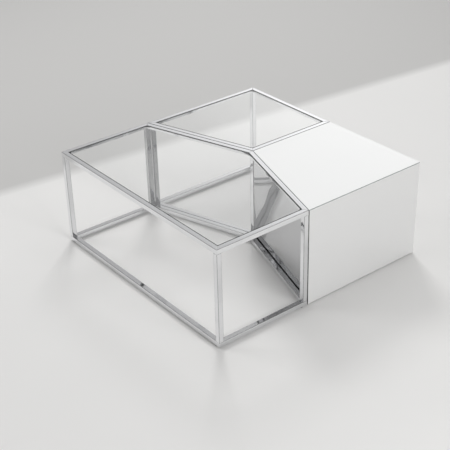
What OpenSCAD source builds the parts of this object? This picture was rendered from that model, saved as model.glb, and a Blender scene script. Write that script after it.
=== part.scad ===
// Sectional coffee table: a square of three free-standing tables of one height that meet in a point.
// The front and back-left tables are chrome tube frames with clear glass tops let in flush.
// The back-right table is a closed white block with mirrors on the two faces that the frames stand against.

/* [Plan] */
// Side of the square that the three tables make together
side = 1000; // [850:10:1200]
// Distance from the front edge to the outer ends of the slanting joints
joint_end = 420; // [360:10:480]
// Distance from the front edge to the point where the three tables meet
meeting_point = 580; // [530:10:640]
// Gap between neighbouring tables
table_gap = 2; // [1:0.5:4]

/* [Heights] */
// Height of all three tables above the floor
table_h = 410; // [350:5:500]
// Height that the floor glides stand out of the frames and the block
glide_h = 4; // [3:0.5:8]

/* [Frame tubes] */
// Outside width of the square tube
tube = 20; // [16:1:30]
// Wall thickness of the tube
tube_wall = 1.5; // [1:0.1:2.5]
// Outside corner radius of the tube
tube_radius = 1; // [0.6:0.1:1.5]

/* [Glass] */
// Thickness of the clear tops
glass_t = 8; // [6:1:10]
// Gap between a top's edge and the tube around it
glass_gap = 1.5; // [1:0.25:3]
// Thickness of the pads that a top rests on
pad_t = 1.5; // [1:0.25:2]
// Radius of each pad
pad_r = 3.5; // [2.5:0.25:5]
// Rim left round a pad on the support plate welded into each corner
plate_rim = 1; // [0.5:0.25:2]
// Thickness of each support plate
plate_t = 3; // [2:0.5:4]

/* [Glides] */
// Radius of the glide's foot
glide_r = 9; // [7:0.5:9.5]
// Radius of the stem that pushes into its hole
stem_r = 4; // [3:0.25:5]
// Length of the stem above the foot
stem_h = 7; // [5:0.5:10]
// Distance of a glide from its corner, along the tube
glide_from_corner = 24; // [22:1:40]

/* [Block] */
// Thickness of the wall, base and top panels
panel_t = 18; // [16:1:22]
// Thickness of the mirror sheets
mirror_t = 2; // [1:0.5:4]
// Thickness of the white glass over the block
cover_t = 4; // [3:0.5:6]
// Side of the posts inside the corners
post_side = 50; // [44:2:70]
// Radius of the wooden dowels
dowel_r = 4; // [3:0.5:5]
// Length of the wooden dowels
dowel_l = 30; // [24:2:32]
// Length of the screws that hold the base to the posts
screw_l = 45; // [35:5:60]

/* [Hidden] */
$fn = 48;
half = side / 2;
fit = 0.05;      // radial clearance of stems, dowels and screws in their holes
margin = 5;      // how far a cutting shape runs past what it cuts

// Plan points. The square's corners are named as seen from the front.
front_left = [-half, -half];
front_right = [half, -half];
back_left = [-half, half];
back_right = [half, half];
joint_left = [-half, joint_end - half];
joint_right = [half, joint_end - half];
joint_back = [0, half];
meeting = [0, meeting_point - half];

// Heights of the frame's rings, plates, pads and tops
rail_low_z = glide_h;
leg_z = glide_h + tube;
rail_top_z = table_h - tube;
leg_h = rail_top_z - leg_z;
glass_z = table_h - glass_t;
pad_z = glass_z - pad_t;
plate_z = pad_z - plate_t;

// Heights of the block's pieces
wall_h = table_h - cover_t - glide_h;
base_top_z = glide_h + panel_t;
lid_z = table_h - cover_t - panel_t;
post_h = lid_z - base_top_z;
dowel_cover = 6;         // wood left between a dowel's end and a wall's face
dowel_in_wall = panel_t - dowel_cover;
dowel_shares = [1 / 4, 3 / 4];
hole_spare = 0.5;        // how much deeper than its dowel or stem a hole runs
screw_head_r = 4;
screw_head_h = 2.6;
screw_shank_r = 2;
screw_tip_h = 5;
screw_slot = [5, 1, 1.2];
glide_in_post = 17;      // along both sides of a post, from its corner
screw_in_post = 36;

function unit(v) = v / norm(v);
function left_of(v) = [-v[1], v[0]];
// Where two lines cross, each given by a point and a direction
function crossing(p, u, q, v) = p + u * cross(q - p, v) / cross(u, v);

// An outline lists its corners anticlockwise. Side i runs from corner i to the next one.
function next(outline, i) = outline[(i + 1) % len(outline)];
function last(outline, i) = outline[(i + len(outline) - 1) % len(outline)];
function along(outline, i) = unit(next(outline, i) - outline[i]);
function back_along(outline, i) = unit(last(outline, i) - outline[i]);
function side_length(outline, i) = norm(next(outline, i) - outline[i]);
function corner_angle(outline, i) = acos(along(outline, i) * back_along(outline, i));

// The outline with each side moved inwards by its own depth
function inset(outline, depths) = [
    for (i = [0 : len(outline) - 1])
        let (before = (i + len(outline) - 1) % len(outline))
        let (u = along(outline, before))
        let (v = along(outline, i))
        crossing(outline[i] + left_of(u) * depths[before], u, outline[i] + left_of(v) * depths[i], v)
];
function inset_all(outline, depth) = inset(outline, [for (p = outline) depth]);

// The strip along side i, mitred at both ends, from one depth to another
function strip(outline, i, from, to) = [
    inset_all(outline, from)[i],
    next(inset_all(outline, from), i),
    next(inset_all(outline, to), i),
    inset_all(outline, to)[i]
];
// The rhombus that fills corner i
function rhombus(outline, i, length) = [
    outline[i],
    outline[i] + along(outline, i) * length,
    outline[i] + (along(outline, i) + back_along(outline, i)) * length,
    outline[i] + back_along(outline, i) * length
];
function in_corner(outline, i, length) =
    outline[i] + (along(outline, i) + back_along(outline, i)) * length;

// Each table's outline keeps half the gap clear on the sides that face a neighbour.
gap = table_gap / 2;
front_outline = inset([front_left, front_right, joint_right, meeting, joint_left], [0, 0, gap, gap, 0]);
back_outline = inset([joint_left, meeting, joint_back, back_left], [gap, gap, 0, 0]);
block_outline = inset([meeting, joint_right, back_right, joint_back], [gap, 0, 0, gap]);
// The block's wooden box stands behind the mirror sheets.
box_outline = inset(block_outline, [mirror_t, 0, 0, mirror_t]);
box_inside = inset_all(box_outline, panel_t);

// Names of the sides and corners, in the outlines' order
front_sides = ["front", "right", "slant_right", "slant_left", "left"];
front_corners = ["front_left", "front_right", "right", "middle", "left"];
front_leg_names = ["front_left", "front_right", "right", "left"];
back_sides = ["slant", "inner", "back", "left"];
back_corners = ["left", "middle", "right", "back_left"];
wall_names = ["slant", "right", "back", "inner"];
post_names = ["middle", "right", "back_right", "back"];

// Where each leg stands: the side that it lies along, and whether it is at that side's end.
// The front frame has no leg in its blunt middle corner.
front_legs = [[0, false], [0, true], [1, true], [4, false]];
back_legs = [[3, true], [1, false], [2, false], [3, false]];

function names(prefix, list) = [for (name = list) str(prefix, name)];

// ---------- Chrome frames ----------

// A square with round corners, made of plain squares and circles so that its arcs stay true
module round_square(width, radius) {
    translate([radius, 0]) square([width - 2 * radius, width]);
    translate([0, radius]) square([width, width - 2 * radius]);
    for (x = [radius, width - radius], y = [radius, width - radius])
        translate([x, y]) circle(radius);
}

module tube_section() {
    difference() {
        round_square(tube, tube_radius);
        translate([tube_wall, tube_wall]) square(tube - 2 * tube_wall);
    }
}

// Moves its children to side i: x along the side, y inwards
module on_side(outline, i) {
    direction = along(outline, i);
    translate(outline[i]) rotate(atan2(direction[1], direction[0])) children();
}

// One straight tube of a ring, mitred into its neighbours, with its underside at z = 0
module rail(outline, i) {
    intersection() {
        on_side(outline, i)
            translate([-tube, 0, 0])
                rotate([90, 0, 90]) linear_extrude(side_length(outline, i) + 2 * tube) tube_section();
        translate([0, 0, -margin])
            linear_extrude(tube + 2 * margin) polygon(strip(outline, i, -margin, tube + margin));
    }
}

// Distance along a leg's side from its corner to the leg: a sharp corner leaves no room at its point
function leg_slip(outline, place) =
    let (corner = place[1] ? (place[0] + 1) % len(outline) : place[0])
    max(0, tube / tan(corner_angle(outline, corner)));
// Where something wide starts, measured along its side, when it begins this far from the leg's corner
function from_corner(outline, place, distance, width) =
    place[1] ? side_length(outline, place[0]) - distance - width : distance;

module leg(outline, place) {
    start = from_corner(outline, place, leg_slip(outline, place), tube);
    on_side(outline, place[0])
        translate([start, 0, leg_z]) linear_extrude(leg_h) tube_section();
}

// Moves its children to the middle of the tube beside a leg's corner, where the glide goes
module at_glide(outline, place) {
    on_side(outline, place[0])
        translate([from_corner(outline, place, glide_from_corner, 0), tube / 2, 0]) children();
}

module top_rail(outline, i) {
    translate([0, 0, rail_top_z]) rail(outline, i);
}

module bottom_rail(outline, legs, i) {
    difference() {
        translate([0, 0, rail_low_z]) rail(outline, i);
        for (place = legs)
            if (place[0] == i)
                at_glide(outline, place)
                    translate([0, 0, rail_low_z - margin]) cylinder(r = stem_r + fit, h = margin + tube / 2);
    }
}

// ---------- Glass tops and what they rest on ----------

// The side of the smallest triangle in a corner that holds a circle of this radius
function triangle_side(angle, radius) = radius * (2 + 2 * sin(angle / 2)) / sin(angle);
// The middle of that circle
function circle_in_corner(outline, i, radius) =
    outline[i] + unit(along(outline, i) + back_along(outline, i)) * radius / sin(corner_angle(outline, i) / 2);

// A triangular gusset just big enough to carry its pad
module support_plate(outline, i) {
    inside = inset_all(outline, tube);
    length = triangle_side(corner_angle(inside, i), pad_r + plate_rim);
    translate([0, 0, plate_z])
        linear_extrude(plate_t)
            polygon([
                inside[i],
                inside[i] + along(inside, i) * length,
                inside[i] + back_along(inside, i) * length
            ]);
}

module glass_pads(outline) {
    for (i = [0 : len(outline) - 1])
        translate(circle_in_corner(inset_all(outline, tube), i, pad_r + plate_rim))
            translate([0, 0, pad_z]) cylinder(r = pad_r, h = pad_t);
}

module glass_top(outline) {
    translate([0, 0, glass_z]) linear_extrude(glass_t) polygon(inset_all(outline, tube + glass_gap));
}

// ---------- Glides ----------

module glide() {
    cylinder(r = glide_r, h = glide_h);
    cylinder(r = stem_r, h = glide_h + stem_h);
}

module frame_glides(outline, legs) {
    for (place = legs) at_glide(outline, place) glide();
}

// ---------- Block ----------

module block_wall(i) {
    difference() {
        translate([0, 0, glide_h]) linear_extrude(wall_h) polygon(strip(box_outline, i, 0, panel_t));
        dowel_places() dowel_hole();
    }
}

module mirror_sheet(i) {
    translate([0, 0, glide_h]) linear_extrude(wall_h)
        polygon([block_outline[i], next(block_outline, i), next(box_outline, i), box_outline[i]]);
}

// Two dowels a side, in the middle of the base's and the lid's thickness: z along the dowel, inwards
module dowel_places() {
    for (z = [glide_h + panel_t / 2, lid_z + panel_t / 2])
        for (i = [0 : len(box_inside) - 1])
            for (share = dowel_shares)
                translate([0, 0, z])
                    on_side(box_inside, i)
                        translate([share * side_length(box_inside, i), -dowel_in_wall, 0])
                            rotate([-90, 0, 0]) children();
}

module dowel() {
    cylinder(r = dowel_r, h = dowel_l);
}

module dowel_hole() {
    translate([0, 0, -hole_spare]) cylinder(r = dowel_r + fit, h = dowel_l + 2 * hole_spare);
}

module post_places(distance) {
    for (i = [0 : len(box_inside) - 1])
        translate(in_corner(box_inside, i, distance)) children();
}

module block_post(i) {
    difference() {
        translate([0, 0, base_top_z]) linear_extrude(post_h) polygon(rhombus(box_inside, i, post_side));
        post_places(screw_in_post) screw_shape(fit);
    }
}

module block_base() {
    difference() {
        translate([0, 0, glide_h]) linear_extrude(panel_t) polygon(box_inside);
        dowel_places() dowel_hole();
        post_places(screw_in_post) screw_shape(fit);
        post_places(glide_in_post) cylinder(r = stem_r + fit, h = glide_h + stem_h + hole_spare);
    }
}

module block_lid() {
    difference() {
        translate([0, 0, lid_z]) linear_extrude(panel_t) polygon(box_inside);
        dowel_places() dowel_hole();
    }
}

module block_cover() {
    translate([0, 0, table_h - cover_t]) linear_extrude(cover_t) polygon(block_outline);
}

// A countersunk screw that points up from the block's underside, grown by extra all round
module screw_shape(extra) {
    translate([0, 0, glide_h]) rotate_extrude()
        polygon([
            [0, -extra],
            [screw_head_r + extra, -extra],
            [screw_head_r + extra, 0],
            [screw_shank_r + extra, screw_head_h],
            [screw_shank_r + extra, screw_l - screw_tip_h],
            [0, screw_l + extra]
        ]);
}

module screw() {
    difference() {
        screw_shape(0);
        for (turn = [0, 90])
            rotate(turn) translate([0, 0, glide_h]) cube(screw_slot, center = true);
    }
}

// ---------- Nodes ----------

module chrome() { color([0.8, 0.81, 0.82]) children(); }
module clear_glass() { color([0.75, 0.85, 0.84, 0.4]) children(); }
module dark_rubber() { color([0.2, 0.2, 0.21]) children(); }
module grey_nylon() { color([0.45, 0.45, 0.46]) children(); }
module white_lacquer() { color([0.93, 0.93, 0.93]) children(); }
module white_glass() { color([0.96, 0.97, 0.97]) children(); }
module mirror_steel() { color([0.6, 0.62, 0.64]) children(); }
module bare_fibreboard() { color([0.66, 0.52, 0.37]) children(); }
module pine() { color([0.82, 0.68, 0.46]) children(); }
module zinc_steel() { color([0.7, 0.71, 0.7]) children(); }

for (i = [0 : len(front_sides) - 1]) {
    chrome() top_rail(front_outline, i);
    chrome() bottom_rail(front_outline, front_legs, i);
    chrome() support_plate(front_outline, i);
}
for (i = [0 : len(front_legs) - 1]) {
    chrome() leg(front_outline, front_legs[i]);
}
for (i = [0 : len(back_sides) - 1]) {
    chrome() top_rail(back_outline, i);
    chrome() bottom_rail(back_outline, back_legs, i);
    chrome() leg(back_outline, back_legs[i]);
    chrome() support_plate(back_outline, i);
    white_lacquer() block_wall(i);
    pine() block_post(i);
}
clear_glass() glass_top(front_outline);  // front_glass
dark_rubber() glass_pads(front_outline);  // front_glass_pads
grey_nylon() frame_glides(front_outline, front_legs);  // front_glides
clear_glass() glass_top(back_outline);  // back_glass
dark_rubber() glass_pads(back_outline);  // back_glass_pads
grey_nylon() frame_glides(back_outline, back_legs);  // back_glides
bare_fibreboard() block_base();
bare_fibreboard() block_lid();
white_glass() block_cover();
mirror_steel() mirror_sheet(0);  // block_mirror_slant
mirror_steel() mirror_sheet(3);  // block_mirror_inner
pine() dowel_places() dowel();  // block_dowels
zinc_steel() post_places(screw_in_post) screw();  // block_screws
grey_nylon() post_places(glide_in_post) glide();  // block_glides
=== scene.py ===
"""The looks of a sectional coffee table: two chrome and glass tables and a white block with mirrored faces.

The tubes, the plates and the block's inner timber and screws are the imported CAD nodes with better
materials. Pieces whose edges or surfaces need more shape than the CAD gives them are built here, inside the
box of the node that they replace: glass tops, mirror sheets, lacquered shell, glass cover, pads and glides.
"""

import math

import bmesh
import bpy
from mathutils import Matrix, Vector, noise


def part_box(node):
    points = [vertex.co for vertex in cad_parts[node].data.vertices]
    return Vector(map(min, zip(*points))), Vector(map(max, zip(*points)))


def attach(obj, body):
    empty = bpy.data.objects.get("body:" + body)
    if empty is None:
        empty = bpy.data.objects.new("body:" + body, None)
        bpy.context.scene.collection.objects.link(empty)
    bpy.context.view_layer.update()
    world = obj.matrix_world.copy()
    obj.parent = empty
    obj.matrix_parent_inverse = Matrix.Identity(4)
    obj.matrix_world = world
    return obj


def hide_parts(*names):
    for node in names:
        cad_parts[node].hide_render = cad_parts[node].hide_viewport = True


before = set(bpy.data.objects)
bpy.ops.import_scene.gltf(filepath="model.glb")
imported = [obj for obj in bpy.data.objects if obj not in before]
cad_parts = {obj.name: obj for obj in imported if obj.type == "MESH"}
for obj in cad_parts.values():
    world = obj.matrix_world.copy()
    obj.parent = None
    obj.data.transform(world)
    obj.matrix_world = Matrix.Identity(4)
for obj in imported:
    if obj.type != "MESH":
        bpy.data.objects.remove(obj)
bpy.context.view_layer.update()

MM = 0.001                  # metres


# ---------- Camera, floor and lights ----------

CAMERA_AIM = Vector((0.0989, -0.1479, 0.2))
CAMERA_DISTANCE = 4.1038
CAMERA_AZIMUTH = 52.02      # degrees from +Y towards -X that the camera looks
CAMERA_ELEVATION = 29.91
CAMERA_ROLL = -1.52
CAMERA_LENS = 84.51         # mm
CAMERA_SENSOR = 36.0        # mm

FLOOR_REACH = 14.0          # metres from the table to the floor's edge
FLOOR_SEAM = (-1.02, 0.10)  # where the painted shade on the floor begins: x at y = 0, and its change per metre of y
SEAM_BLUR = 0.08            # metres
FLOOR_NEAR = ((0.785, 0.78, 0.77), (0.815, 0.81, 0.80))     # the two shades of its faint mottle
# Painted shade: the floor's colour past the seam, darker as if in shadow
FLOOR_SHADE_BEYOND = (0.56, 0.555, 0.546)

BACK_LIGHT_AZIMUTH = 42     # degrees from +Y towards -X
BACK_LIGHT_ELEVATION = 17
# Brightness of the studio at angles in degrees from the middle of the back light
BACK_LIGHT = [
    (0, 1.3), (8, 1.25), (13, 0.9), (17, 0.62), (22, 0.5), (40, 0.34),
    (70, 0.2), (105, 0.2), (130, 0.4), (180, 0.5),
]


def make_camera():
    data = bpy.data.cameras.new("camera")
    data.sensor_width = CAMERA_SENSOR
    data.lens = CAMERA_LENS
    data.clip_end = 100.0
    turn = (
        Matrix.Rotation(math.radians(CAMERA_AZIMUTH), 4, "Z")
        @ Matrix.Rotation(math.radians(90 - CAMERA_ELEVATION), 4, "X")
        @ Matrix.Rotation(math.radians(CAMERA_ROLL), 4, "Z")
    )
    camera = bpy.data.objects.new("camera", data)
    camera.matrix_world = (
        Matrix.Translation(CAMERA_AIM) @ turn @ Matrix.Translation((0, 0, CAMERA_DISTANCE))
    )
    bpy.context.scene.collection.objects.link(camera)
    bpy.context.scene.camera = camera


def softbox(name, place, target, side, power, glossy=False):
    """A square lamp at place that faces target, its side in metres and its power in watts.

    The camera does not see it. glossy says if mirrors and glass show it.
    """
    data = bpy.data.lights.new(name, "AREA")
    data.shape = "SQUARE"
    data.size = side
    data.energy = power
    lamp = bpy.data.objects.new(name, data)
    lamp.location = place
    lamp.rotation_euler = (Vector(target) - Vector(place)).to_track_quat("-Z", "Y").to_euler()
    lamp.visible_camera = False
    lamp.visible_glossy = glossy
    lamp.visible_transmission = glossy
    bpy.context.scene.collection.objects.link(lamp)


def make_world():
    """A plain grey studio with one soft, low, round light behind the table, which the rails' tops reflect."""
    world = bpy.data.worlds.new("studio")
    world.use_nodes = True
    bpy.context.scene.world = world
    tree = world.node_tree
    tree.nodes.clear()
    direction = add_node(tree, "ShaderNodeTexCoord").outputs["Generated"]
    azimuth = math.radians(BACK_LIGHT_AZIMUTH)
    elevation = math.radians(BACK_LIGHT_ELEVATION)
    flat = math.cos(elevation)
    towards = (-math.sin(azimuth) * flat, math.cos(azimuth) * flat, math.sin(elevation))
    dot = add_node(tree, "ShaderNodeVectorMath", operation="DOT_PRODUCT")
    tree.links.new(direction, dot.inputs[0])
    dot.inputs[1].default_value = towards
    away = math_node(tree, "ARCCOSINE", dot.outputs["Value"])
    stops = [(math.radians(angle) / math.pi, (level, level, level)) for angle, level in BACK_LIGHT]
    brightness = ramp(tree, math_node(tree, "DIVIDE", away, math.pi), stops)
    background = add_node(tree, "ShaderNodeBackground", {"Color": brightness, "Strength": 1.0})
    output = add_node(tree, "ShaderNodeOutputWorld")
    tree.links.new(background.outputs["Background"], output.inputs["Surface"])


def make_floor():
    mesh = bpy.data.meshes.new("floor")
    far = FLOOR_REACH
    mesh.from_pydata([(-far, -far, 0), (far, -far, 0), (far, far, 0), (-far, far, 0)], [], [(0, 1, 2, 3)])
    floor = bpy.data.objects.new("floor", mesh)
    bpy.context.scene.collection.objects.link(floor)
    material, tree, shader = new_material("floor")
    grain = noise_texture(tree, object_coordinates(tree), 2.0, 3)
    near = mixed(tree, grain, *FLOOR_NEAR)
    place = split(tree, object_coordinates(tree))
    slope = math_node(tree, "MULTIPLY", place["Y"], FLOOR_SEAM[1])
    past = math_node(tree, "SUBTRACT", math_node(tree, "ADD", slope, FLOOR_SEAM[0]), place["X"])
    # 1 past the seam, where the floor is painted darker as shade
    painted_shade = rise(tree, past, -SEAM_BLUR / 2, SEAM_BLUR / 2)
    set_inputs(tree, shader, {
        "Base Color": mixed(tree, painted_shade, near, FLOOR_SHADE_BEYOND),
        "Roughness": 0.55,
        "Specular IOR Level": 0.2,
    })
    mesh.materials.append(material)


# ---------- Node helpers ----------

def set_inputs(tree, node, inputs):
    """Sets each named input of a node to a number or colour, or links the socket given for it."""
    for name, value in inputs.items():
        if isinstance(value, bpy.types.NodeSocket):
            tree.links.new(value, node.inputs[name])
        elif isinstance(value, tuple) and len(value) == 3 and node.inputs[name].type == "RGBA":
            node.inputs[name].default_value = (*value, 1.0)
        else:
            node.inputs[name].default_value = value


def add_node(tree, kind, inputs=None, **settings):
    node = tree.nodes.new(kind)
    for name, value in settings.items():
        setattr(node, name, value)
    set_inputs(tree, node, inputs or {})
    return node


def new_material(name):
    """A material with one Principled shader wired to its output."""
    material = bpy.data.materials.new(name)
    material.use_nodes = True
    tree = material.node_tree
    tree.nodes.clear()
    shader = tree.nodes.new("ShaderNodeBsdfPrincipled")
    output = tree.nodes.new("ShaderNodeOutputMaterial")
    tree.links.new(shader.outputs["BSDF"], output.inputs["Surface"])
    return material, tree, shader


def object_coordinates(tree):
    return add_node(tree, "ShaderNodeTexCoord").outputs["Object"]


def stretched(tree, scale, turn=(0, 0, 0)):
    """Object coordinates turned and then scaled, so that a pattern runs along one direction."""
    along = add_node(
        tree, "ShaderNodeMapping", {"Vector": object_coordinates(tree), "Rotation": turn}
    ).outputs["Vector"]
    return add_node(tree, "ShaderNodeMapping", {"Vector": along, "Scale": scale}).outputs["Vector"]


def turned_vector(tree, vector, turn):
    """A direction turned about the axes."""
    return add_node(
        tree, "ShaderNodeMapping", {"Vector": vector, "Rotation": turn}, vector_type="NORMAL"
    ).outputs["Vector"]


def split(tree, vector):
    """The X, Y and Z of a point or direction, by name."""
    return add_node(tree, "ShaderNodeSeparateXYZ", {"Vector": vector}).outputs


def noise_texture(tree, coordinates, scale, detail=2.0, roughness=0.5):
    return add_node(tree, "ShaderNodeTexNoise", {
        "Vector": coordinates, "Scale": scale, "Detail": detail, "Roughness": roughness,
    }).outputs["Fac"]


def between(tree, value, low, high, from_low=0.3, from_high=0.7):
    """The value moved from one range to another, and kept inside it."""
    return add_node(tree, "ShaderNodeMapRange", {
        "Value": value, "From Min": from_low, "From Max": from_high, "To Min": low, "To Max": high,
    }).outputs["Result"]


def rise(tree, value, start, end):
    """0 where the value is below start, 1 where it is above end, and a straight rise between."""
    return between(tree, value, 0.0, 1.0, start, end)


def mixed(tree, factor, first, second):
    """The colour first where factor is 0, second where it is 1, and a blend between."""
    node = add_node(tree, "ShaderNodeMix", data_type="RGBA")
    for name, value in (("Factor", factor), ("A", first), ("B", second)):
        socket = next(s for s in node.inputs if s.name == name and s.enabled)
        if isinstance(value, bpy.types.NodeSocket):
            tree.links.new(value, socket)
        elif isinstance(value, tuple):
            socket.default_value = (*value, 1.0)
        else:
            socket.default_value = value
    return next(s for s in node.outputs if s.enabled)


def ramp(tree, factor, stops):
    """A colour ramp through (position, colour) stops."""
    node = add_node(tree, "ShaderNodeValToRGB", {"Fac": factor})
    elements = node.color_ramp.elements
    while len(elements) < len(stops):
        elements.new(0.5)
    for element, (position, colour) in zip(elements, stops):
        element.position = position
        element.color = (*colour, 1.0)
    return node.outputs["Color"]


def math_node(tree, operation, first, second=0.0):
    """The result of an operation on two numbers or sockets."""
    node = add_node(tree, "ShaderNodeMath", operation=operation)
    for socket, value in zip(node.inputs, (first, second)):
        if isinstance(value, bpy.types.NodeSocket):
            tree.links.new(value, socket)
        else:
            socket.default_value = value
    return node.outputs["Value"]


def bump(tree, height, distance, under=None):
    """A bump whose full height is distance metres, laid over another bump where one is given."""
    inputs = {"Height": height, "Distance": distance, "Strength": 1.0}
    if under is not None:
        inputs["Normal"] = under
    return add_node(tree, "ShaderNodeBump", inputs).outputs["Normal"]


# ---------- Materials ----------

EDGE_RADIUS = 3 * MM        # how round the chrome tube's edges look
CLEAN_CHROME = 0.87         # how much light chrome throws back
SMUDGED_CHROME = 0.80
TOP_CHROME_SHADE = 0.8            # painted shade on the upper faces
EDGE_CHROME_SHADE = 0.4           # painted dark lines on the long edges, standing in for the dark reflections there


def grey(value):
    """A grey with the faint blue of chromium."""
    return (value, value * 1.005, value * 1.02)


def chrome(name, turn, shade=1.0, top_shade=1.0, edge_shade=EDGE_CHROME_SHADE):
    """Polished chrome on drawn tube: faint waves and polishing lines run along it, with a few smudges.

    turn lays the tube's length along X. The tube's long edges are drawn rounder than the mesh, and painted
    dark lines on its upright and upper edges, as dark as edge_shade says, stand in for the dark reflections
    there. The upper face is painted darker as shade, and top_shade darkens it further; shade darkens the
    whole plating as painted shade.
    """
    material, tree, shader = new_material(name)
    waves = noise_texture(tree, stretched(tree, (1.2, 55.0, 55.0), turn), 1.0, 1)
    lines = noise_texture(tree, stretched(tree, (4.0, 800.0, 800.0), turn), 1.0, 2)
    smudges = noise_texture(tree, object_coordinates(tree), 14.0, 5, 0.6)
    worn = rise(tree, smudges, 0.52, 0.75)
    round_edges = add_node(tree, "ShaderNodeBevel", {"Radius": EDGE_RADIUS}, samples=6).outputs["Normal"]
    across = split(tree, turned_vector(tree, round_edges, turn))
    sideways = add_node(tree, "ShaderNodeCombineXYZ", {"X": 0.0, "Y": across["Y"], "Z": across["Z"]})
    soft_edged = turned_vector(tree, sideways.outputs["Vector"], [-angle for angle in turn])
    corner = math_node(tree, "ABSOLUTE", math_node(tree, "MULTIPLY", across["Y"], across["Z"]))
    upwards = split(tree, soft_edged)["Z"]
    not_under = rise(tree, upwards, -0.15, -0.02)
    # edge: where the painted dark reflection lines lie along the long edges
    edge = math_node(tree, "MULTIPLY", rise(tree, corner, 0.1, 0.4), not_under)
    sides = mixed(tree, worn, grey(CLEAN_CHROME * shade), grey(SMUDGED_CHROME * shade))
    # the upper faces, which are painted darker as shade
    shaded_top = rise(tree, upwards, 0.6, 0.9)
    plate = mixed(tree, shaded_top, sides, grey(TOP_CHROME_SHADE * shade * top_shade))
    streak = math_node(tree, "ADD", math_node(tree, "MULTIPLY", lines, 0.5), worn)
    set_inputs(tree, shader, {
        # the plate colour with painted shade on top, and the painted dark lines on the edges
        "Base Color": mixed(tree, edge, plate, grey(edge_shade * shade)),
        "Metallic": 1.0,
        "Roughness": between(tree, streak, 0.03, 0.12, 0.2, 1.4),
        "Normal": bump(tree, lines, 0.004 * MM, bump(tree, waves, 0.2 * MM, soft_edged)),
    })
    return material


def chromed_sheet():
    """The support plates: laser-cut sheet under the same chrome."""
    material, tree, shader = new_material("chromed_sheet")
    smudges = noise_texture(tree, object_coordinates(tree), 60.0, 4, 0.6)
    set_inputs(tree, shader, {
        "Base Color": mixed(tree, smudges, grey(0.60), grey(0.72)),
        "Metallic": 1.0,
        "Roughness": between(tree, smudges, 0.06, 0.2),
    })
    return material


def clear_glass():
    """Clear float glass with the shallow waves that toughening leaves and light smudges."""
    material, tree, shader = new_material("clear_glass")
    roller_waves = noise_texture(tree, stretched(tree, (1.5, 9.0, 1.0)), 1.0, 1)
    smudges = noise_texture(tree, object_coordinates(tree), 9.0, 6, 0.65)
    set_inputs(tree, shader, {
        "Base Color": (0.99, 0.995, 0.993),
        "Transmission Weight": 1.0,
        "IOR": 1.5,
        "Roughness": between(tree, smudges, 0.0, 0.045, 0.56, 0.8),
        "Normal": bump(tree, roller_waves, 0.2 * MM),
    })
    return material


def ground_edge():
    """The ground edge of a sheet, dark because little light reaches it."""
    material, tree, shader = new_material("ground_edge")
    scratches = noise_texture(tree, stretched(tree, (900.0, 900.0, 60.0)), 1.0, 3)
    set_inputs(tree, shader, {
        "Base Color": mixed(tree, scratches, (0.012, 0.015, 0.014), (0.03, 0.036, 0.034)),
        "Roughness": between(tree, scratches, 0.3, 0.5),
        "Specular IOR Level": 0.12,
    })
    return material


def mirror_sheet():
    """Mirror-polished steel sheet. Its waves are in the mesh; this adds fine polishing haze."""
    material, tree, shader = new_material("mirror_sheet")
    haze = noise_texture(tree, object_coordinates(tree), 5.0, 5, 0.6)
    fine = noise_texture(tree, stretched(tree, (700.0, 700.0, 12.0)), 1.0, 2)
    set_inputs(tree, shader, {
        "Base Color": mixed(tree, haze, grey(0.58), grey(0.66)),
        "Metallic": 1.0,
        "Roughness": between(tree, haze, 0.015, 0.06, 0.35, 0.75),
        "Normal": bump(tree, fine, 0.0015 * MM),
    })
    return material


def white_lacquer():
    """High-gloss lacquer sprayed on fibreboard: clean white under clear, with a trace of orange peel."""
    material, tree, shader = new_material("white_lacquer")
    peel = noise_texture(tree, object_coordinates(tree), 260.0, 2)
    cloud = noise_texture(tree, object_coordinates(tree), 3.0, 3)
    set_inputs(tree, shader, {
        "Base Color": mixed(tree, cloud, (0.80, 0.80, 0.795), (0.83, 0.83, 0.825)),
        "Roughness": between(tree, cloud, 0.28, 0.36),
        "Coat Weight": 0.8,
        "Coat Roughness": 0.06,
        "Coat IOR": 1.5,
        "Normal": bump(tree, peel, 0.006 * MM),
    })
    return material


def white_glass():
    """Glass painted white on its back: white and glossy from above, grey-green at its cut edge."""
    material, tree, shader = new_material("white_glass")
    facing = add_node(tree, "ShaderNodeNewGeometry").outputs["Normal"]
    level = math_node(tree, "ABSOLUTE", split(tree, facing)["Z"])
    face = rise(tree, level, 0.45, 0.8)
    cloud = noise_texture(tree, object_coordinates(tree), 2.5, 3)
    paint = mixed(tree, cloud, (0.87, 0.875, 0.87), (0.90, 0.905, 0.90))
    smudges = noise_texture(tree, object_coordinates(tree), 8.0, 6, 0.65)
    set_inputs(tree, shader, {
        "Base Color": mixed(tree, face, (0.30, 0.345, 0.335), paint),
        "Roughness": between(tree, smudges, 0.05, 0.14, 0.5, 0.8),
        "IOR": 1.5,
        "Coat Weight": 0.4,
        "Coat Roughness": 0.03,
    })
    return material


def dark_rubber():
    """Soft dark pads with a fine matt skin."""
    material, tree, shader = new_material("dark_rubber")
    grain = noise_texture(tree, object_coordinates(tree), 1800.0, 3)
    wear = noise_texture(tree, object_coordinates(tree), 250.0, 3)
    set_inputs(tree, shader, {
        "Base Color": mixed(tree, wear, (0.03, 0.03, 0.032), (0.06, 0.06, 0.062)),
        "Roughness": between(tree, wear, 0.5, 0.7),
        "Normal": bump(tree, grain, 0.04 * MM),
    })
    return material


def grey_nylon():
    """Moulded nylon with a fine spark-eroded texture."""
    material, tree, shader = new_material("grey_nylon")
    grain = noise_texture(tree, object_coordinates(tree), 1400.0, 3)
    scuffs = noise_texture(tree, object_coordinates(tree), 90.0, 4)
    set_inputs(tree, shader, {
        "Base Color": mixed(tree, scuffs, (0.035, 0.035, 0.037), (0.07, 0.07, 0.073)),
        "Roughness": between(tree, scuffs, 0.42, 0.62),
        "Normal": bump(tree, grain, 0.05 * MM),
    })
    return material


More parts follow.
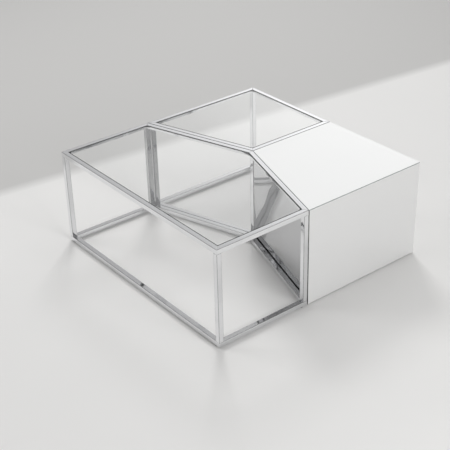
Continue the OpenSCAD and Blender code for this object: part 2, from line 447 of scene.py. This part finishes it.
def fibreboard():
    """Bare fibreboard: short pale and dark fibres pressed flat."""
    material, tree, shader = new_material("fibreboard")
    fibres = noise_texture(tree, stretched(tree, (900.0, 300.0, 900.0), (0, 0, 0.6)), 1.0, 4, 0.7)
    patches = noise_texture(tree, object_coordinates(tree), 12.0, 3)
    wood = mixed(tree, rise(tree, fibres, 0.3, 0.7), (0.24, 0.155, 0.085), (0.42, 0.30, 0.18))
    set_inputs(tree, shader, {
        "Base Color": mixed(tree, between(tree, patches, 0.0, 0.35), wood, (0.33, 0.22, 0.13)),
        "Roughness": 0.8,
        "Normal": bump(tree, fibres, 0.08 * MM),
    })
    return material


def pine():
    """Planed softwood with upright growth rings."""
    material, tree, shader = new_material("pine")
    rings = add_node(tree, "ShaderNodeTexWave", {
        "Vector": stretched(tree, (1.0, 1.0, 0.06)), "Scale": 45.0, "Distortion": 5.0, "Detail": 3.0,
        "Detail Scale": 1.4,
    }, wave_type="RINGS", rings_direction="Z").outputs["Fac"]
    pores = noise_texture(tree, stretched(tree, (900.0, 900.0, 30.0)), 1.0, 3)
    wood = mixed(tree, rings, (0.62, 0.43, 0.22), (0.44, 0.26, 0.11))
    set_inputs(tree, shader, {
        "Base Color": mixed(tree, between(tree, pores, 0.0, 0.3), wood, (0.30, 0.18, 0.08)),
        "Roughness": 0.6,
        "Normal": bump(tree, pores, 0.05 * MM),
    })
    return material


def zinc_steel():
    """Bright zinc plate with its crystal patches."""
    material, tree, shader = new_material("zinc_steel")
    patches = noise_texture(tree, object_coordinates(tree), 600.0, 3)
    set_inputs(tree, shader, {
        "Base Color": mixed(tree, patches, (0.55, 0.56, 0.55), (0.72, 0.73, 0.70)),
        "Metallic": 1.0,
        "Roughness": between(tree, patches, 0.25, 0.45),
    })
    return material


# ---------- Plan shapes taken from the CAD nodes ----------

STRAIGHT = 1e-9             # square metres: a corner that turns by less than this is no corner
DECIMALS = 6                # plan points are kept to a thousandth of a millimetre


def half_hull(ordered):
    """One side of the convex outline of plan points that are given in order, without its last point."""
    kept = []
    for point in ordered:
        while len(kept) > 1 and (kept[-1] - kept[-2]).cross(point - kept[-2]) <= STRAIGHT:
            kept.pop()
        kept.append(point)
    return kept[:-1]


def hull(points):
    """The convex outline round plan points, anticlockwise."""
    places = {(round(point[0], DECIMALS), round(point[1], DECIMALS)) for point in points}
    ordered = [Vector(place) for place in sorted(places)]
    return half_hull(ordered) + half_hull(ordered[::-1])


def plan_outline(*nodes):
    """The outline of some CAD nodes seen from above."""
    return hull([v.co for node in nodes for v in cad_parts[node].data.vertices])


FAR_APART = 30 * MM         # the pads of one node, and its glides, lie further apart than this


def box_round(points):
    """The lowest and the highest corner of the box round some points."""
    low = Vector([min(point[axis] for point in points) for axis in range(3)])
    high = Vector([max(point[axis] for point in points) for axis in range(3)])
    return low, high


def islands(node):
    """(lowest, highest) corner of each separate solid in a node whose solids lie far apart."""
    groups = []
    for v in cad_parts[node].data.vertices:
        near = next((group for group in groups if (group[0].xy - v.co.xy).length < FAR_APART), None)
        if near is None:
            groups.append([v.co.copy()])
        else:
            near.append(v.co.copy())
    return [box_round(group) for group in groups]


CORNER_STEPS = 5


def inner_corner(outline, i, depth):
    """The point that lies depth inside both sides at corner i of an outline.

    With it come the direction that points straight out of the side before, and half the corner's angle.
    """
    corner = outline[i]
    to_last = (outline[i - 1] - corner).normalized()
    to_next = (outline[(i + 1) % len(outline)] - corner).normalized()
    half_angle = to_last.angle(to_next) / 2
    inside = corner + (to_last + to_next).normalized() * (depth / math.sin(half_angle))
    outwards = Vector((to_last.y, -to_last.x)) * -1
    return inside, outwards, half_angle


def rounded(outline, radius):
    """(point, outward direction) pairs round an outline with its corners rounded."""
    result = []
    for i in range(len(outline)):
        centre, start, half_angle = inner_corner(outline, i, radius)
        sweep = math.pi - 2 * half_angle
        for step in range(CORNER_STEPS + 1):
            angle = sweep * step / CORNER_STEPS
            out = Matrix.Rotation(angle, 2) @ start
            result.append((centre + out * radius, out))
    return result


# ---------- Mesh helpers ----------

def new_piece(name, bm, body, materials, replaced):
    """Makes a mesh object of bm that rides on a body and stands for CAD nodes."""
    mesh = bpy.data.meshes.new(name)
    bm.normal_update()
    bm.to_mesh(mesh)
    bm.free()
    mesh.polygons.foreach_set("use_smooth", [True] * len(mesh.polygons))
    for material in materials:
        mesh.materials.append(material)
    piece = bpy.data.objects.new(name, mesh)
    bpy.context.scene.collection.objects.link(piece)
    evened = piece.modifiers.new("flat_faces_stay_flat", "WEIGHTED_NORMAL")
    evened.weight = 100
    evened.keep_sharp = True
    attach(piece, body)
    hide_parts(*replaced)
    return piece


RIM_STEPS = 4


def edge_profile(low, high, radius):
    """(height, inset) pairs up the side of a slab whose two rims are rounded."""
    turns = [math.pi / 2 * step / RIM_STEPS for step in range(RIM_STEPS + 1)]
    lower = [(low + radius * (1 - math.sin(t)), radius * (1 - math.cos(t))) for t in reversed(turns)]
    upper = [(high - radius * (1 - math.sin(t)), radius * (1 - math.cos(t))) for t in turns]
    return lower + upper


def ring_of_vertices(bm, outline, height, inset):
    return [bm.verts.new((*(point - out * inset), height)) for point, out in outline]


def bridge(bm, lower, upper):
    """Joins two rings of vertices with a band of faces."""
    for i, first in enumerate(lower):
        j = (i + 1) % len(lower)
        bm.faces.new((first, lower[j], upper[j], upper[i]))


def fan(bm, tip, ring):
    """Joins a ring of vertices to one vertex with a fan of triangles."""
    for i, first in enumerate(ring):
        bm.faces.new((first, ring[(i + 1) % len(ring)], tip))


def rounded_sides(bm, points, low, high, rim_radius):
    """The side faces of a slab, with both rims rounded. Returns its rings of vertices from the bottom up."""
    rings = [ring_of_vertices(bm, points, z, inset) for z, inset in edge_profile(low, high, rim_radius)]
    for lower, upper in zip(rings, rings[1:]):
        bridge(bm, lower, upper)
    return rings


def slab(outline, low, high, corner_radius, rim_radius):
    """A flat plate with rounded corners and rims."""
    bm = bmesh.new()
    rings = rounded_sides(bm, rounded(outline, corner_radius), low, high, rim_radius)
    bm.faces.new(rings[0][::-1])
    bm.faces.new(rings[-1])
    return bm


ROUND_SIDES = 40            # sides of the polygon that stands for a circle


def circle_of_vertices(bm, centre, radius, height):
    """A ring of vertices round an upright axis, or a single one on it where the radius is 0."""
    if radius == 0:
        return [bm.verts.new((centre.x, centre.y, height))]
    angles = [math.tau * side / ROUND_SIDES for side in range(ROUND_SIDES)]
    return [
        bm.verts.new((centre.x + radius * math.cos(angle), centre.y + radius * math.sin(angle), height))
        for angle in angles
    ]


def turned(profile, places):
    """Solids of revolution, one at each place, from (radius, height) pairs that start and end on the axis."""
    bm = bmesh.new()
    for place in places:
        rings = [circle_of_vertices(bm, place, radius, height) for radius, height in profile]
        for lower, upper in zip(rings, rings[1:]):
            if len(lower) == 1:
                fan(bm, lower[0], upper[::-1])
            elif len(upper) == 1:
                fan(bm, upper[0], lower)
            else:
                bridge(bm, lower, upper)
    return bm


# ---------- Pieces ----------

EDGE_SLOT = 1               # where the ground edge's material stands on glass and mirrors
GLASS_CORNER = 5 * MM
GLASS_RIM = 0.8 * MM
PAINTED_CORNER = 1.2 * MM   # how round the block's upright corners are
SHELL_RIM = 0.8 * MM
COVER_RIM = 0.5 * MM
WALL = 18 * MM              # thickness of the block's walls

# Half of a pad and of a glide's foot in section, as shares of its radius and of its height
PAD_SHAPE = [(0, 0), (1, 0), (1, 0.35), (0.94, 0.7), (0.78, 0.93), (0.55, 1), (0, 1)]
FOOT_SHAPE = [
    (0, 0), (0.72, 0), (0.9, 0.12), (0.98, 0.32), (1, 0.5), (1, 0.72), (0.95, 0.84), (0.86, 0.88), (0.84, 1),
]
FOOT_HEIGHT = 4 * MM
STEM_RADIUS = 4 * MM
STEM_CHAMFER = 1 * MM


def make_glass_top(table, clear, edge):
    node = table + "_glass"
    low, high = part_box(node)
    bm = slab(plan_outline(node), low.z, high.z, GLASS_CORNER, GLASS_RIM)
    for face in bm.faces:
        if len(face.verts) == 4:
            face.material_index = EDGE_SLOT
    top = new_piece(table + "_glass_top", bm, table + "_glass", [clear, edge], [node])
    # Clear glass hardly dims what is under it.
    top.visible_shadow = False
    top.visible_diffuse = False


def make_pads(table, material):
    node = table + "_glass_pads"
    boxes = islands(node)
    low, high = boxes[0]
    radius = (high.x - low.x) / 2
    profile = [(across * radius, low.z + up * (high.z - low.z)) for across, up in PAD_SHAPE]
    bm = turned(profile, [(lo + hi) / 2 for lo, hi in boxes])
    new_piece(table + "_domed_pads", bm, table + "_frame", [material], [node])


def make_glides(node, body, material):
    """Glides with a crowned sole, a rounded rim and a narrow stem up into the tube."""
    boxes = islands(node)
    low, high = boxes[0]
    radius = (high.x - low.x) / 2
    foot = [(across * radius, low.z + up * FOOT_HEIGHT) for across, up in FOOT_SHAPE]
    stem = [
        (STEM_RADIUS, low.z + FOOT_HEIGHT),
        (STEM_RADIUS, high.z - STEM_CHAMFER),
        (STEM_RADIUS - STEM_CHAMFER, high.z),
        (0, high.z),
    ]
    bm = turned(foot + stem, [(lo + hi) / 2 for lo, hi in boxes])
    new_piece(node + "_turned", bm, body, [material], [node])


def make_shell(material):
    """The block's four lacquered walls as one skin: the lacquer runs unbroken over their mitred corners."""
    walls = [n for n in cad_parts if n.startswith("block_wall_")]
    low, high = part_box(walls[0])
    outline = plan_outline(*walls)
    points = rounded(outline, PAINTED_CORNER)
    bm = bmesh.new()
    rings = rounded_sides(bm, points, low.z, high.z, SHELL_RIM)
    inside = [inner_corner(outline, i, WALL)[0] for i in range(len(outline))]
    inner_low = [bm.verts.new((*p, low.z)) for p in inside]
    inner_high = [bm.verts.new((*p, high.z)) for p in inside]
    # The walls' lower and upper ends: a fan of triangles at each round corner, and one face along each wall.
    for i, first in enumerate(rings[0]):
        j = (i + 1) % len(points)
        corner = i // (CORNER_STEPS + 1)
        next_corner = j // (CORNER_STEPS + 1)
        if corner == next_corner:
            bm.faces.new((first, inner_low[corner], rings[0][j]))
            bm.faces.new((rings[-1][i], rings[-1][j], inner_high[corner]))
        else:
            bm.faces.new((first, inner_low[corner], inner_low[next_corner], rings[0][j]))
            bm.faces.new((rings[-1][i], rings[-1][j], inner_high[next_corner], inner_high[corner]))
    bridge(bm, inner_high, inner_low)
    new_piece("block_shell", bm, "block", [material], walls)


def make_cover(material):
    low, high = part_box("block_cover")
    bm = slab(plan_outline("block_cover"), low.z, high.z, PAINTED_CORNER, COVER_RIM)
    new_piece("block_glass_cover", bm, "block", [material], ["block_cover"])


MIRROR_CELL = 6 * MM        # side of the mesh's cells on a mirror sheet
MIRROR_WAVE = 1.6 * MM      # how deep the sheet's waves go, out of its 2 mm
MIRROR_RIM = 12.5 * MM      # the waves fade out this close to the sheet's rims
# Noise that shapes the waves: how fast it changes along the sheet and up it, per metre, its share, its seed
MIRROR_NOISE = [(4.5, 3.5, 0.55, 0.0), (13.0, 7.0, 0.16, 7.0)]


def sheet_wave(u, v, seed):
    """Depth of a mirror sheet's surface, from 0 to 1, at u along and v up, in metres."""
    depth = 0.5
    for along, up, share, own_seed in MIRROR_NOISE:
        depth += share * noise.noise(Vector((u * along, v * up, seed + own_seed)))
    return min(max(depth, 0.0), 1.0)


def long_edges(node):
    """The two long edges of a mirror sheet's plan: the one against the block, and the mirrored one."""
    outline = plan_outline(node)
    block = sum(plan_outline("block_cover"), Vector((0, 0))) / 4
    edges = [(outline[i], outline[(i + 1) % 4]) for i in range(4)]
    edges.sort(key=lambda e: (e[1] - e[0]).length)
    back, front = sorted(edges[2:], key=lambda e: ((e[0] + e[1]) / 2 - block).length)
    return back[::-1], front


def make_mirror(node, seed, mirror, edge):
    """A closed sheet with a flat back and a gently wavy front."""
    low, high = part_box(node)
    back, front = long_edges(node)
    across = round((front[1] - front[0]).length / MIRROR_CELL)
    up = round((high.z - low.z) / MIRROR_CELL)
    bm = bmesh.new()
    front_grid = []
    back_grid = []
    for j in range(up + 1):
        z = low.z + (high.z - low.z) * j / up
        front_grid.append([])
        back_grid.append([])
        for i in range(across + 1):
            on_front = front[0].lerp(front[1], i / across)
            on_back = back[0].lerp(back[1], i / across)
            fade = min(1.0, min(i, across - i, j, up - j) * MIRROR_CELL / MIRROR_RIM)
            depth = sheet_wave((on_front - front[0]).length, z, seed) * MIRROR_WAVE * fade
            inwards = (on_back - on_front).normalized()
            front_grid[j].append(bm.verts.new((*(on_front + inwards * depth), z)))
            back_grid[j].append(bm.verts.new((*on_back, z)))
    for j in range(up):
        for i in range(across):
            bm.faces.new(cell_of(front_grid, i, j))
            bm.faces.new(cell_of(back_grid, i, j, backwards=True))
    close_rims(bm, front_grid, back_grid)
    new_piece(node + "_sheet", bm, "block", [mirror, edge], [node])


def cell_of(grid, i, j, backwards=False):
    """The four vertices of one cell of a grid of rows, in order round it."""
    lower = grid[j]
    upper = grid[j + 1]
    if backwards:
        return lower[i], upper[i], upper[i + 1], lower[i + 1]
    return lower[i], lower[i + 1], upper[i + 1], upper[i]


def rim_of(grid):
    """The vertices round the outside of a grid of rows, in order."""
    bottom = grid[0][:-1]
    right = [row[-1] for row in grid[:-1]]
    top = grid[-1][:0:-1]
    left = [row[0] for row in grid[:0:-1]]
    return bottom + right + top + left


def close_rims(bm, front, back):
    """Joins the four rims of two grids of vertices, as ground edge."""
    outer = rim_of(front)
    inner = rim_of(back)
    for i, first in enumerate(outer):
        j = (i + 1) % len(outer)
        bm.faces.new((first, inner[i], inner[j], outer[j])).material_index = EDGE_SLOT


# ---------- Materials on the CAD nodes that stay ----------

def tube_turn(node):
    """A label for a tube's direction, and the turn that lays it along X, as the chrome's pattern needs."""
    low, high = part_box(node)
    size = high - low
    if size.z > max(size.x, size.y):
        return ("up", (0, math.pi / 2, 0))
    outline = plan_outline(node)
    sides = [outline[i] - outline[i - 1] for i in range(len(outline))]
    longest = max(sides, key=lambda s: s.length)
    angle = math.atan2(longest.y, longest.x) % math.pi
    return (f"{math.degrees(angle):.0f}", (0, 0, -angle))


LEFT_JOINT_LEGS = ("front_leg_left", "back_leg_left")   # back to back, with little light between them: their chrome is painted darker as shade
LEFT_JOINT_SHADE = 0.6
UPRIGHT_EDGE_SHADE = 0.3
LOW_RAIL_SHADE = 0.95       # painted shade on the upper faces of the bottom rails
FRONT_RAIL_EDGE_SHADE = 0.6


def tube_look(name):
    """What sets one tube's chrome apart from the others: a label, and the settings that go with it."""
    if name in LEFT_JOINT_LEGS:
        return "shaded", {"shade": LEFT_JOINT_SHADE}
    if "_leg_" in name:
        return "upright", {"edge_shade": UPRIGHT_EDGE_SHADE}
    if "_bottom_" in name:
        return "low", {"top_shade": LOW_RAIL_SHADE}
    if name == "front_top_rail_front":
        return "front", {"edge_shade": FRONT_RAIL_EDGE_SHADE}
    return "plain", {}


def dress_tubes(tubes):
    """One chrome for each look and direction of tube, so that its lines follow every tube."""
    made = {}
    for name in tubes:
        direction, turn = tube_turn(name)
        look, settings = tube_look(name)
        label = f"chrome_{look}_{direction}"
        if label not in made:
            made[label] = chrome(label, turn, **settings)
        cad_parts[name].data.materials[0] = made[label]


def dress_nodes(nodes, material):
    """Gives CAD nodes that stay as they are their material."""
    for node in nodes:
        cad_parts[node].data.materials[0] = material


make_camera()
make_world()
make_floor()
softbox("overhead", (-1.0, 1.0, 6.2), (0, 0, 0), side=6.0, power=82, glossy=True)
softbox("key", (-3.6, 2.6, 4.6), (0, 0, 0), side=1.6, power=116)
softbox("right_side", (4.4, -0.2, 3.0), (0.5, 0.2, 0.2), side=2.2, power=102)
softbox("left_side", (-3.6, -3.2, 2.8), (-0.3, -0.4, 0), side=2.4, power=70)

glass = clear_glass()
edge = ground_edge()
nylon = grey_nylon()
rubber = dark_rubber()
mirror = mirror_sheet()
softwood = pine()
board = fibreboard()

for table in ("front", "back"):
    make_glass_top(table, glass, edge)
    make_pads(table, rubber)
    make_glides(table + "_glides", table + "_frame", nylon)
make_glides("block_glides", "block", nylon)
make_shell(white_lacquer())
make_cover(white_glass())
make_mirror("block_mirror_slant", 3.0, mirror, edge)
make_mirror("block_mirror_inner", 11.0, mirror, edge)
dress_tubes([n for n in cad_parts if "_rail_" in n or "_leg_" in n])
dress_nodes([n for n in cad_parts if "_plate_" in n], chromed_sheet())
dress_nodes(["block_base", "block_lid"], board)
dress_nodes([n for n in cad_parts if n.startswith("block_post_")] + ["block_dowels"], softwood)
dress_nodes(["block_screws"], zinc_steel())

bpy.context.scene.view_settings.view_transform = "Standard"
bpy.context.scene.cycles.glossy_bounces = 8
bpy.context.scene.cycles.max_bounces = 16
